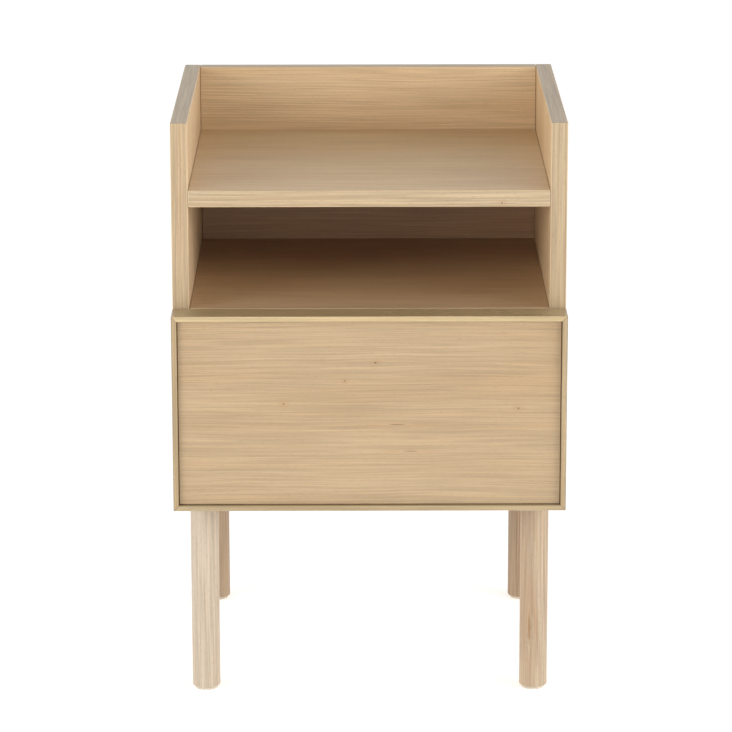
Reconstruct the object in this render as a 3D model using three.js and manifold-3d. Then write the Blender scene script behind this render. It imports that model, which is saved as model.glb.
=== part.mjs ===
// Bedside table in pale oak: a tray top with raised sides and back, an open cubby under it,
// one drawer with a framed overlay front, and four straight round legs.
//
// Units are millimetres. +Z is up, the drawer front faces -Y, +X is to the right seen from
// behind the front, and the origin is on the floor under the middle of the whole object.
// Boards that are glued together keep JOINT_GAP between them, so every mesh stays its own solid.

import * as THREE from 'three';
import { mergeVertices } from 'three/addons/utils/BufferGeometryUtils.js';
import Module from 'manifold-3d';

const wasm = await Module();
wasm.setup();

// ---- driving dimensions -------------------------------------------------------------------

const WIDTH = 400; // over the side boards, and over the drawer front
const DEPTH = 380; // from the drawer front's face to the back board
const HEIGHT = 604; // floor to the top of the side and back boards
const BOARD = 17; // 16 mm core with a veneer on both faces
const CASE_BOTTOM = 209; // floor to the underside of the case
const CUBBY_FLOOR_TOP = 413;
const SHELF_TOP = 535;
const JOINT_GAP = 0.2;
const PART_GAP = 0.3; // between hardware and the wood around it

const FRONT_DEPTH = 34.5; // depth of the strips round the drawer front
const FRONT_GAP = 1.5; // between the closed front and the case
const STRIP = 5.5; // thickness of the strips
const PANEL_RECESS = 4.5; // from the strips' front edge back to the panel
const PANEL_GAP = 0.5; // shadow line between the panel and the strips

const LEG_RADIUS = 14.5;
const LEG_INSET_SIDE = 29; // leg axis in from the side of the case
const LEG_INSET_END = 21; // leg axis in from the front and the back of the case
const FELT_HEIGHT = 2.7;
const FELT_RADIUS = 12;

const BOX_BOARD = 12; // drawer box boards
const BOX_HEIGHT = 140;
const BOX_LENGTH = 310;
const BOX_LIFT = 12; // from the bottom board up to the box
const BOX_BASE = 6; // thickness of the drawer bottom
const BOX_BASE_LIFT = 10; // from the box's lower edge up to the groove
const GROOVE_DEPTH = 6;

const RUNNER_LENGTH = 300;
const RUNNER_HEIGHT = 45;
const RUNNER_THICKNESS = 12.7;
const RUNNER_SHEET = 1.2;
const RUNNER_SETBACK = 3; // from the case's front edge to the runner
const BALL_ROOM = 2.4; // room for the balls between two members
const RUNNER_DROP = 15; // from the middle of the box's height down to the runner's axis
// How far in from the side board each member's web and the tips of its flanges are.
const OUTER_TIP = 10.5;
const MIDDLE_WEB = 2.4;
const MIDDLE_TIP = 11;
const INNER_TIP = 4.6;

const DOWEL_RADIUS = 4;
const DOWEL_LENGTH = 30;
const DOWEL_IN_SIDE = 11; // how deep a dowel goes into a side board
const BORE_ROOM = 0.3; // how much wider and deeper a bore is than what it holds

const ROUND_FINE = 32; // facets of the legs
const ROUND_SMALL = 12; // facets of dowels, bolts and screws

// ---- dimensions worked out from them ------------------------------------------------------

const FRONT_FACE = -DEPTH / 2;
const CASE_FRONT = FRONT_FACE + FRONT_DEPTH + FRONT_GAP;
const CASE_BACK = DEPTH / 2;
const BACK_BOARD_FRONT = CASE_BACK - BOARD;
const SIDE_INNER = WIDTH / 2 - BOARD;
const BOARD_HALF_WIDTH = SIDE_INNER - JOINT_GAP; // boards that run between the sides
const BOARD_REAR = BACK_BOARD_FRONT - JOINT_GAP; // boards that end at the back board
const BOTTOM_TOP = CASE_BOTTOM + BOARD;

const PANEL_FACE = FRONT_FACE + PANEL_RECESS;
const PANEL_BACK = PANEL_FACE + BOARD;
const BOX_FRONT = PANEL_BACK + JOINT_GAP;
const BOX_REAR = BOX_FRONT + BOX_LENGTH;
const BOX_BOTTOM = BOTTOM_TOP + BOX_LIFT;
const BOX_OUTER = SIDE_INNER - RUNNER_THICKNESS - PART_GAP;
const BOX_INNER = BOX_OUTER - BOX_BOARD;
const RUNNER_FRONT = CASE_FRONT + RUNNER_SETBACK;
const RUNNER_AXIS_Z = BOX_BOTTOM + BOX_HEIGHT / 2 - RUNNER_DROP;

// ---- materials ----------------------------------------------------------------------------

const oakVeneer = () => new THREE.MeshStandardMaterial({ color: 0xcdb288, roughness: 0.5 });
const oakEdge = () => new THREE.MeshStandardMaterial({ color: 0xd9c094, roughness: 0.5 });
const oakLeg = () => new THREE.MeshStandardMaterial({ color: 0xc9ad8b, roughness: 0.55 });
const birch = () => new THREE.MeshStandardMaterial({ color: 0xd8c3a0, roughness: 0.6 });
const beech = () => new THREE.MeshStandardMaterial({ color: 0xc79f74, roughness: 0.7 });
const zincSteel = () =>
  new THREE.MeshStandardMaterial({ color: 0xb4b7ba, roughness: 0.35, metalness: 0.9 });
const felt = () => new THREE.MeshStandardMaterial({ color: 0x8d8378, roughness: 0.95 });
const rubber = () => new THREE.MeshStandardMaterial({ color: 0xd8d8d4, roughness: 0.6 });

// ---- solids -------------------------------------------------------------------------------

// A closed geometry as a solid that can be cut.
function toSolid(geometry) {
  const bare = geometry.clone();
  bare.deleteAttribute('normal');
  bare.deleteAttribute('uv');
  const merged = mergeVertices(bare);
  const mesh = new wasm.Mesh({
    numProp: 3,
    vertProperties: Float32Array.from(merged.attributes.position.array),
    triVerts: Uint32Array.from(merged.index.array),
  });
  return new wasm.Manifold(mesh);
}

function toGeometry(solid) {
  const mesh = solid.getMesh();
  const geometry = new THREE.BufferGeometry();
  geometry.setAttribute('position', new THREE.BufferAttribute(mesh.vertProperties, 3));
  geometry.setIndex(new THREE.BufferAttribute(mesh.triVerts, 1));
  geometry.computeVertexNormals();
  return geometry;
}

// Takes each cutter away from a geometry. Cutters are placed in the object's frame, and the
// geometry sits at centre.
function cut(geometry, centre, cutters) {
  let solid = toSolid(geometry);
  for (const cutter of cutters) {
    const local = cutter.clone().translate(-centre.x, -centre.y, -centre.z);
    solid = solid.subtract(toSolid(local));
  }
  return toGeometry(solid);
}

const nightstand = new THREE.Group();

function add(name, geometry, material, centre) {
  const mesh = new THREE.Mesh(geometry, material);
  mesh.name = name;
  mesh.position.copy(centre);
  nightstand.add(mesh);
}

const middle = (low, high) => (low + high) / 2;

// A block between two corners, as a geometry in the object's frame.
function block(low, high) {
  const size = high.map((value, axis) => value - low[axis]);
  const geometry = new THREE.BoxGeometry(...size);
  return geometry.translate(...high.map((value, axis) => middle(low[axis], value)));
}

// A board between two corners, with its bores and grooves.
function addBoard(name, low, high, material, cutters = []) {
  const size = high.map((value, axis) => value - low[axis]);
  const centre = new THREE.Vector3(...high.map((value, axis) => middle(low[axis], value)));
  const plain = new THREE.BoxGeometry(...size);
  add(name, cutters.length > 0 ? cut(plain, centre, cutters) : plain, material, centre);
}

// A round rod along X, Y or Z, from one end to the other, as a geometry in the object's frame.
function rod(axis, from, to, radius, centre) {
  const geometry = new THREE.CylinderGeometry(radius, radius, to - from, ROUND_SMALL);
  if (axis === 'x') geometry.rotateZ(-Math.PI / 2);
  if (axis === 'z') geometry.rotateX(Math.PI / 2);
  const place = new THREE.Vector3().copy(centre);
  place[axis] = middle(from, to);
  return geometry.translate(place.x, place.y, place.z);
}

// A turned piece: [radius, height] pairs from the bottom up, turned about the Z axis.
function turned(profile, facets) {
  const points = profile.map(([radius, height]) => new THREE.Vector2(radius, height));
  return new THREE.LatheGeometry(points, facets).rotateX(Math.PI / 2);
}

// ---- dowels that join the boards to the sides ---------------------------------------------

// side is -1 on the left and +1 on the right.
const sides = [
  { side: -1, word: 'left' },
  { side: 1, word: 'right' },
];

// Every dowel row: the boards it joins, and where its dowels are along the depth or the height.
const DOWEL_FROM_FRONT = 50;
const DOWEL_FROM_REAR = 60;
const DOWEL_FROM_END = 60; // of the back board's upright ends
const dowelRows = [
  { word: 'shelf', y: [CASE_FRONT + DOWEL_FROM_FRONT, BOARD_REAR - DOWEL_FROM_REAR],
    z: [SHELF_TOP - BOARD / 2] },
  { word: 'cubby_floor', y: [CASE_FRONT + DOWEL_FROM_FRONT, BOARD_REAR - DOWEL_FROM_REAR],
    z: [CUBBY_FLOOR_TOP - BOARD / 2] },
  { word: 'bottom', y: [CASE_FRONT + 2 * DOWEL_FROM_FRONT, BOARD_REAR - 2 * DOWEL_FROM_REAR],
    z: [CASE_BOTTOM + BOARD / 2] },
  { word: 'back', y: [middle(BACK_BOARD_FRONT, CASE_BACK)],
    z: [CASE_BOTTOM + DOWEL_FROM_END, HEIGHT - DOWEL_FROM_END] },
];

// Calls use(side, y, z, number, word) for every dowel of one row.
function eachDowel(row, use) {
  for (const { side, word } of sides) {
    let number = 1;
    for (const y of row.y) {
      for (const z of row.z) {
        use(side, y, z, number, word);
        number += 1;
      }
    }
  }
}

// The two ends of a dowel along X: one in the side board, the other in the board between.
function dowelSpan(side, room) {
  const outer = side * (SIDE_INNER + DOWEL_IN_SIDE + room);
  const inner = side * (SIDE_INNER + DOWEL_IN_SIDE - DOWEL_LENGTH - room);
  return [Math.min(outer, inner), Math.max(outer, inner)];
}

function dowelBores(row, onlySide) {
  const bores = [];
  eachDowel(row, (side, y, z) => {
    if (onlySide !== undefined && side !== onlySide) return;
    const [from, to] = dowelSpan(side, BORE_ROOM);
    bores.push(rod('x', from, to, DOWEL_RADIUS + BORE_ROOM, { x: 0, y, z }));
  });
  return bores;
}

for (const row of dowelRows) {
  eachDowel(row, (side, y, z, number, word) => {
    const [from, to] = dowelSpan(side, 0);
    const pin = new THREE.CylinderGeometry(DOWEL_RADIUS, DOWEL_RADIUS, to - from, ROUND_SMALL);
    pin.rotateZ(-Math.PI / 2);
    const centre = new THREE.Vector3(middle(from, to), y, z);
    add(`dowel_${row.word}_${word}_${number}`, pin, beech(), centre);
  });
}

// ---- legs ---------------------------------------------------------------------------------

const LEG_BORE_RADIUS = 3.8;
const LEG_BORE_DEPTH = 42;
const LEG_EDGE = 1; // small bevel at the foot
const INSERT_RADIUS = 6;
const INSERT_HEIGHT = 12.5;
const BOLT_RADIUS = 3.4; // wood thread in the leg
const BOLT_METRIC_RADIUS = 3.9; // metric thread in the insert
const BOLT_POINT = 4; // length of the bolt's pointed end, bore room included
const BOLT_END_ROOM = 1; // from each end of the insert to the metric thread
const INSERT_BORE_TOP = CASE_BOTTOM + INSERT_HEIGHT + 2 * BORE_ROOM;

const legX = WIDTH / 2 - LEG_INSET_SIDE;
const legPlaces = [
  { word: 'front_left', x: -legX, y: CASE_FRONT + LEG_INSET_END },
  { word: 'front_right', x: legX, y: CASE_FRONT + LEG_INSET_END },
  { word: 'rear_left', x: -legX, y: CASE_BACK - LEG_INSET_END },
  { word: 'rear_right', x: legX, y: CASE_BACK - LEG_INSET_END },
];

const legFoot = FELT_HEIGHT + PART_GAP;
const legTop = CASE_BOTTOM - PART_GAP;
const legProfile = [
  [0, legFoot],
  [LEG_RADIUS - LEG_EDGE, legFoot],
  [LEG_RADIUS, legFoot + LEG_EDGE],
  [LEG_RADIUS, legTop],
  [LEG_BORE_RADIUS, legTop],
  [LEG_BORE_RADIUS, legTop - LEG_BORE_DEPTH],
  [0, legTop - LEG_BORE_DEPTH],
];
const boltProfile = [
  [0, legTop - LEG_BORE_DEPTH + BORE_ROOM],
  [BOLT_RADIUS, legTop - LEG_BORE_DEPTH + BOLT_POINT],
  [BOLT_RADIUS, legTop],
  [BOLT_METRIC_RADIUS, CASE_BOTTOM + BOLT_END_ROOM],
  [BOLT_METRIC_RADIUS, CASE_BOTTOM + INSERT_HEIGHT - BOLT_END_ROOM],
  [0, CASE_BOTTOM + INSERT_HEIGHT - BOLT_END_ROOM],
];
const insertProfile = [
  [BOLT_METRIC_RADIUS + BORE_ROOM, CASE_BOTTOM + PART_GAP],
  [INSERT_RADIUS, CASE_BOTTOM + PART_GAP],
  [INSERT_RADIUS, CASE_BOTTOM + INSERT_HEIGHT],
  [BOLT_METRIC_RADIUS + BORE_ROOM, CASE_BOTTOM + INSERT_HEIGHT],
  [BOLT_METRIC_RADIUS + BORE_ROOM, CASE_BOTTOM + PART_GAP],
];
const feltProfile = [
  [0, 0],
  [FELT_RADIUS, 0],
  [FELT_RADIUS, FELT_HEIGHT],
  [0, FELT_HEIGHT],
];

const insertBores = [];
for (const { word, x, y } of legPlaces) {
  const axis = new THREE.Vector3(x, y, 0);
  add(`leg_${word}`, turned(legProfile, ROUND_FINE), oakLeg(), axis);
  add(`hanger_bolt_${word}`, turned(boltProfile, ROUND_SMALL), zincSteel(), axis);
  add(`threaded_insert_${word}`, turned(insertProfile, ROUND_SMALL), zincSteel(), axis);
  add(`felt_glide_${word}`, turned(feltProfile, ROUND_FINE), felt(), axis);
  const boreRadius = INSERT_RADIUS + BORE_ROOM;
  insertBores.push(rod('z', CASE_BOTTOM - BOARD, INSERT_BORE_TOP, boreRadius, { x, y, z: 0 }));
}

// ---- case ---------------------------------------------------------------------------------

const [shelfRow, cubbyRow, bottomRow, backRow] = dowelRows;

for (const { side, word } of sides) {
  const across = [side * SIDE_INNER, (side * WIDTH) / 2].sort((a, b) => a - b);
  addBoard(
    `side_panel_${word}`,
    [across[0], CASE_FRONT, CASE_BOTTOM],
    [across[1], CASE_BACK, HEIGHT],
    oakVeneer(),
    dowelRows.flatMap((row) => dowelBores(row, side)),
  );
}

// A board that lies between the sides, from the case's front edge to rear.
function addLevel(name, top, rear, cutters) {
  addBoard(
    name,
    [-BOARD_HALF_WIDTH, CASE_FRONT, top - BOARD],
    [BOARD_HALF_WIDTH, rear, top],
    oakVeneer(),
    cutters,
  );
}

// The back board stands on the bottom board, which the rear legs need at its full depth.
addLevel('tray_shelf', SHELF_TOP, BOARD_REAR, dowelBores(shelfRow));
addLevel('cubby_floor', CUBBY_FLOOR_TOP, BOARD_REAR, dowelBores(cubbyRow));
addLevel('bottom_panel', BOTTOM_TOP, CASE_BACK, [...dowelBores(bottomRow), ...insertBores]);
addBoard(
  'back_panel',
  [-BOARD_HALF_WIDTH, BACK_BOARD_FRONT, BOTTOM_TOP + JOINT_GAP],
  [BOARD_HALF_WIDTH, CASE_BACK, HEIGHT],
  oakVeneer(),
  dowelBores(backRow),
);

// Two soft bumpers on the front edges of the sides, which the closed drawer front meets.
const BUMPER_RADIUS = 3.5;
const BUMPER_THICKNESS = 1.1;
const BUMPER_HEIGHT = 240;
for (const { side, word } of sides) {
  const bumper = new THREE.CylinderGeometry(
    BUMPER_RADIUS, BUMPER_RADIUS, BUMPER_THICKNESS, ROUND_SMALL,
  );
  const x = side * (WIDTH / 2 - STRIP - BUMPER_RADIUS);
  const y = CASE_FRONT - FRONT_GAP / 2;
  add(`bumper_${word}`, bumper, rubber(), new THREE.Vector3(x, y, BUMPER_HEIGHT));
}

// ---- drawer front: a veneered panel in a proud frame of four mitred strips ------------------

const frontLow = CASE_BOTTOM;
const frontHigh = CUBBY_FLOOR_TOP;

// A strip seen from the front is a trapezium: its outer edge is the full length, and each end
// is cut at 45 degrees. length runs along X here; the strip is turned into its place.
function mitredStrip(length) {
  const half = length / 2 - JOINT_GAP;
  const outline = new THREE.Shape();
  outline.moveTo(-half, 0);
  outline.lineTo(-half + STRIP, -STRIP);
  outline.lineTo(half - STRIP, -STRIP);
  outline.lineTo(half, 0);
  outline.closePath();
  const strip = new THREE.ExtrudeGeometry(outline, { depth: FRONT_DEPTH, bevelEnabled: false });
  return strip.rotateX(Math.PI / 2);
}

const frontHeight = frontHigh - frontLow;
const frontMiddle = middle(frontLow, frontHigh);
const stripRear = FRONT_FACE + FRONT_DEPTH;
const strips = [
  { word: 'top', length: WIDTH, turn: 0, x: 0, z: frontHigh },
  { word: 'right', length: frontHeight, turn: Math.PI / 2, x: WIDTH / 2, z: frontMiddle },
  { word: 'bottom', length: WIDTH, turn: Math.PI, x: 0, z: frontLow },
  { word: 'left', length: frontHeight, turn: -Math.PI / 2, x: -WIDTH / 2, z: frontMiddle },
];
for (const { word, length, turn, x, z } of strips) {
  const strip = mitredStrip(length).rotateY(turn);
  // The turn leaves the depth running towards -Y from the strip's rear edge.
  add(`front_strip_${word}`, strip, oakEdge(), new THREE.Vector3(x, stripRear, z));
}

const SCREW_RADIUS = 1.9;
const SCREW_HEAD_RADIUS = 4.2;
const SCREW_HEAD_HEIGHT = 2.2;
const SCREW_HEAD_TAPER = 1.2;
const SCREW_POINT = 3;
const SCREW_IN_PANEL = 12;
const SCREW_X = 110;
const SCREW_FROM_LOW = 40;
const SCREW_FROM_TOP = 30;
const BORE_BREAKOUT = 1; // how far a through bore's cutter passes the face
const screwHeights = [BOX_BOTTOM + SCREW_FROM_LOW, BOX_BOTTOM + BOX_HEIGHT - SCREW_FROM_TOP];
const screwPlaces = [];
for (const z of screwHeights) {
  for (const x of [-SCREW_X, SCREW_X]) screwPlaces.push({ x, z });
}
const screwTip = PANEL_BACK - SCREW_IN_PANEL;
const boxFrontInner = BOX_FRONT + BOX_BOARD;
const screwBores = screwPlaces.map(({ x, z }) =>
  rod('y', screwTip - BORE_ROOM, boxFrontInner + BORE_BREAKOUT, SCREW_RADIUS + BORE_ROOM,
    { x, y: 0, z }),
);

const panelInset = STRIP + PANEL_GAP;
addBoard(
  'drawer_front_panel',
  [-WIDTH / 2 + panelInset, PANEL_FACE, frontLow + panelInset],
  [WIDTH / 2 - panelInset, PANEL_BACK, frontHigh - panelInset],
  oakVeneer(),
  screwBores,
);

// ---- drawer box ---------------------------------------------------------------------------

const boxTop = BOX_BOTTOM + BOX_HEIGHT;
const baseLow = BOX_BOTTOM + BOX_BASE_LIFT;
const boxRearInner = BOX_REAR - BOX_BOARD;
const groove = block(
  [-BOX_INNER - GROOVE_DEPTH, BOX_FRONT + BOX_BOARD - GROOVE_DEPTH, baseLow - BORE_ROOM],
  [BOX_INNER + GROOVE_DEPTH, boxRearInner + GROOVE_DEPTH, baseLow + BOX_BASE + BORE_ROOM],
);

for (const { side, word } of sides) {
  const across = [side * BOX_INNER, side * BOX_OUTER].sort((a, b) => a - b);
  addBoard(
    `drawer_side_${word}`,
    [across[0], BOX_FRONT, BOX_BOTTOM],
    [across[1], BOX_REAR, boxTop],
    birch(),
    [groove],
  );
}
const betweenSides = BOX_INNER - JOINT_GAP;
addBoard(
  'drawer_box_front',
  [-betweenSides, BOX_FRONT, BOX_BOTTOM],
  [betweenSides, boxFrontInner, boxTop],
  birch(),
  [groove, ...screwBores],
);
addBoard(
  'drawer_box_back',
  [-betweenSides, boxRearInner, BOX_BOTTOM],
  [betweenSides, BOX_REAR, boxTop],
  birch(),
  [groove],
);
const baseInset = GROOVE_DEPTH - PART_GAP;
addBoard(
  'drawer_bottom',
  [-BOX_INNER - baseInset, boxFrontInner - baseInset, baseLow],
  [BOX_INNER + baseInset, boxRearInner + baseInset, baseLow + BOX_BASE],
  birch(),
);

// Screws from inside the box into the front panel, turned about their own axis.
const screwProfile = [
  [0, screwTip],
  [SCREW_RADIUS, screwTip + SCREW_POINT],
  [SCREW_RADIUS, boxFrontInner + PART_GAP],
  [SCREW_HEAD_RADIUS, boxFrontInner + PART_GAP],
  [SCREW_HEAD_RADIUS - SCREW_HEAD_TAPER, boxFrontInner + PART_GAP + SCREW_HEAD_HEIGHT],
  [0, boxFrontInner + PART_GAP + SCREW_HEAD_HEIGHT],
];
screwPlaces.forEach(({ x, z }, index) => {
  const screw = turned(screwProfile, ROUND_SMALL).rotateX(-Math.PI / 2);
  add(`front_screw_${index + 1}`, screw, zincSteel(), new THREE.Vector3(x, 0, z));
});

// ---- drawer runners: three nested channels on each side -------------------------------------

// A channel section: u is the distance in from the side board, v the height from the axis.
// The web is at webU, and the flanges reach to tipU.
function channelOutline(webU, tipU, height, side) {
  const thick = Math.sign(tipU - webU) * RUNNER_SHEET;
  const half = height / 2;
  const inner = half - RUNNER_SHEET;
  const corners = [
    [webU, -half],
    [tipU, -half],
    [tipU, -inner],
    [webU + thick, -inner],
    [webU + thick, inner],
    [tipU, inner],
    [tipU, half],
    [webU, half],
  ];
  return new THREE.Shape(corners.map(([u, v]) => new THREE.Vector2(side * (SIDE_INNER - u), v)));
}

const middleHeight = RUNNER_HEIGHT - 2 * (RUNNER_SHEET + BALL_ROOM);
const innerHeight = middleHeight - 2 * (RUNNER_SHEET + BALL_ROOM);
const members = [
  { word: 'outer', webU: PART_GAP, tipU: OUTER_TIP, height: RUNNER_HEIGHT },
  { word: 'middle', webU: MIDDLE_WEB, tipU: MIDDLE_TIP, height: middleHeight },
  { word: 'inner', webU: RUNNER_THICKNESS, tipU: INNER_TIP, height: innerHeight },
];
for (const { side, word } of sides) {
  for (const member of members) {
    const outline = channelOutline(member.webU, member.tipU, member.height, side);
    const channel = new THREE.ExtrudeGeometry(outline, {
      depth: RUNNER_LENGTH,
      bevelEnabled: false,
    });
    channel.rotateX(Math.PI / 2);
    const rear = new THREE.Vector3(0, RUNNER_FRONT + RUNNER_LENGTH, RUNNER_AXIS_Z);
    add(`runner_${member.word}_${word}`, channel, zincSteel(), rear);
  }
}

export default nightstand;
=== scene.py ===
# %% [markdown]
# # A bedside table in pale oak
#
# The table has a case of veneered boards, four turned legs and one drawer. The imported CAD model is
# the frame: it fixes every size and place, and how the drawer moves. This file only gives each
# piece its looks, so the first cell loads the frame, and every place below is read from it.

import math

import bmesh
import bpy
from mathutils import Matrix, Vector


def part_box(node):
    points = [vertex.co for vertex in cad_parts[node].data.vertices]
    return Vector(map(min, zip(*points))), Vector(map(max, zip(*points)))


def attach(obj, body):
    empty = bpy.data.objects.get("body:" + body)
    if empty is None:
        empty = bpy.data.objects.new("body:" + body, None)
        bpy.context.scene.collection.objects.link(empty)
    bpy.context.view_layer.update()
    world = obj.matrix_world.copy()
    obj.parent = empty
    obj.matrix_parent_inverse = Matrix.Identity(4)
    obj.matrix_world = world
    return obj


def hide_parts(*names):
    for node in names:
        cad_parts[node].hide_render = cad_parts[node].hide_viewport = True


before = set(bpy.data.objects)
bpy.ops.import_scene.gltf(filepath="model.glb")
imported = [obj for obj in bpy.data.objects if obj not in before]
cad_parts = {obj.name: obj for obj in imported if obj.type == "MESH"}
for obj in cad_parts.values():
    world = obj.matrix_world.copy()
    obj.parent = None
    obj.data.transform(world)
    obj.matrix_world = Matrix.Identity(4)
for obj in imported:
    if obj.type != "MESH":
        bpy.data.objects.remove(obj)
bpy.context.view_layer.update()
MM = 0.001

# %% [markdown]
# ## The camera
#
# Furniture looks calm through a long lens from a few metres away, because upright edges stay
# nearly parallel. A 181 mm lens almost four metres away, a little above the table and looking
# 14.5 degrees down, gives that flat perspective. The camera is set by its place and three small
# turns, so no target object is needed.

# %% Camera
CAMERA_PLACE = (-10.1 * MM, -3795.5 * MM, 1296.2 * MM)
CAMERA_DOWN = 14.53  # degrees below level
CAMERA_YAW = -0.105  # degrees, a touch to the right
CAMERA_ROLL = -0.092  # degrees
CAMERA_LENS = 181.4  # millimetres, and so is the sensor
CAMERA_SENSOR = 36.0

camera = bpy.data.objects.new("camera", bpy.data.cameras.new("camera"))
camera.data.lens = CAMERA_LENS
camera.data.sensor_width = CAMERA_SENSOR
camera.location = CAMERA_PLACE
look = Matrix.Rotation(math.radians(CAMERA_YAW), 4, "Z")
look @= Matrix.Rotation(math.radians(90.0 - CAMERA_DOWN), 4, "X")
look @= Matrix.Rotation(math.radians(CAMERA_ROLL), 4, "Z")
camera.rotation_euler = look.to_euler()
bpy.context.scene.collection.objects.link(camera)
bpy.context.scene.camera = camera
print("camera:", round(CAMERA_LENS), "mm lens,", round(-CAMERA_PLACE[1], 2), "m in front of the middle")

# %% [markdown]
# ## Light from the room
#
# The studio is a white room with bright walls and a dimmer ceiling. One even background colour
# would light the tops of things as strongly as their fronts, so the background gets dimmer with
# height instead. The plain "Standard" view keeps colours as they are set.

# %% Room light
HORIZON_LIGHT = 1.12
CEILING_LIGHT = 0.2
WALL_TOP = 0.45  # where the walls start to fade, as the upward part of a direction
CEILING_START = 0.95
FADE = {
    "From Min": WALL_TOP, "From Max": CEILING_START, "To Min": HORIZON_LIGHT, "To Max": CEILING_LIGHT
}

scene = bpy.context.scene
scene.view_settings.view_transform = "Standard"
world = bpy.data.worlds.new("studio")
world.use_nodes = True
sky = world.node_tree.nodes["Background"]
sky.inputs["Color"].default_value = (1.0, 1.0, 1.0, 1.0)
direction = world.node_tree.nodes.new("ShaderNodeTexCoord")
upward = world.node_tree.nodes.new("ShaderNodeSeparateXYZ")
fade = world.node_tree.nodes.new("ShaderNodeMapRange")
fade.interpolation_type = "SMOOTHSTEP"
for label, number in FADE.items():
    fade.inputs[label].default_value = number
world.node_tree.links.new(direction.outputs["Generated"], upward.inputs[0])
world.node_tree.links.new(upward.outputs["Z"], fade.inputs["Value"])
world.node_tree.links.new(fade.outputs["Result"], sky.inputs["Strength"])
scene.world = world
print("room light: walls", HORIZON_LIGHT, "and ceiling", CEILING_LIGHT)

# %% [markdown]
# ## Two soft lamps
#
# A big square lamp stands on each side, in front of the table. Their size makes the shadows soft,
# and the left and right ones differ a little so that the inside of the case isn't flat.

# %% Lamps
# Watts and place of each.
LAMPS = {
    "left_lamp": (64.0, (-2.9, -2.4, 1.0)),
    "right_lamp": (78.0, (3.3, -1.9, 1.0)),
}
LAMP_SIZE = 1.8
LAMP_AIM = Vector((0.0, 0.0, 0.35))

for name, (watts, place) in LAMPS.items():
    lamp = bpy.data.objects.new(name, bpy.data.lights.new(name, "AREA"))
    lamp.data.shape = "SQUARE"
    lamp.data.size = LAMP_SIZE
    lamp.data.energy = watts
    lamp.location = place
    lamp.rotation_euler = (LAMP_AIM - Vector(place)).to_track_quat("-Z", "Y").to_euler()
    scene.collection.objects.link(lamp)
    print(name, watts, "W")

# %% [markdown]
# ## The floor
#
# The floor is a wide white sheet that also glows a little, like a light table, so that it stays
# white to the edge of the view and still takes a faint shadow.

# %% Floor
FLOOR_WHITE = 0.85
FLOOR_GLOW = 0.43
FLOOR_ROUGHNESS = 0.9
FLOOR_SIZE = 60.0


def make_floor():
    half = FLOOR_SIZE / 2
    mesh = bpy.data.meshes.new("floor")
    corners = [(-half, -half, 0), (half, -half, 0), (half, half, 0), (-half, half, 0)]
    mesh.from_pydata(corners, [], [(0, 1, 2, 3)])
    material = bpy.data.materials.new("white floor")
    material.use_nodes = True
    shader = material.node_tree.nodes["Principled BSDF"]
    shader.inputs["Base Color"].default_value = (FLOOR_WHITE, FLOOR_WHITE, FLOOR_WHITE, 1.0)
    shader.inputs["Roughness"].default_value = FLOOR_ROUGHNESS
    shader.inputs["Emission Color"].default_value = (1.0, 1.0, 1.0, 1.0)
    shader.inputs["Emission Strength"].default_value = FLOOR_GLOW
    mesh.materials.append(material)
    floor = bpy.data.objects.new("floor", mesh)
    bpy.context.scene.collection.objects.link(floor)


make_floor()
print("floor:", FLOOR_SIZE, "m wide")

# %% [markdown]
# ## A short way to write shader nodes
#
# A material here is a graph of maths and noise nodes. Written one by one, each node takes four
# lines. The small class below adds a node, feeds its inputs with numbers or with other nodes'
# outputs, and hands back its output, so that a graph reads like a sum. It also spreads the nodes
# out in a row, so that the graph can be opened and read in the shader editor.


# %% Node writer
NODE_WIDTH = 200
NODE_HEIGHT = 220
NODES_IN_COLUMN = 4

# Noise gathers round 0.5, so a mask is stretched from one of these ranges to 0 and 1.
SHARP_RANGE = (0.3, 0.7)
SOFT_RANGE = (0.25, 0.75)
WIDE_RANGE = (0.2, 0.8)


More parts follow.
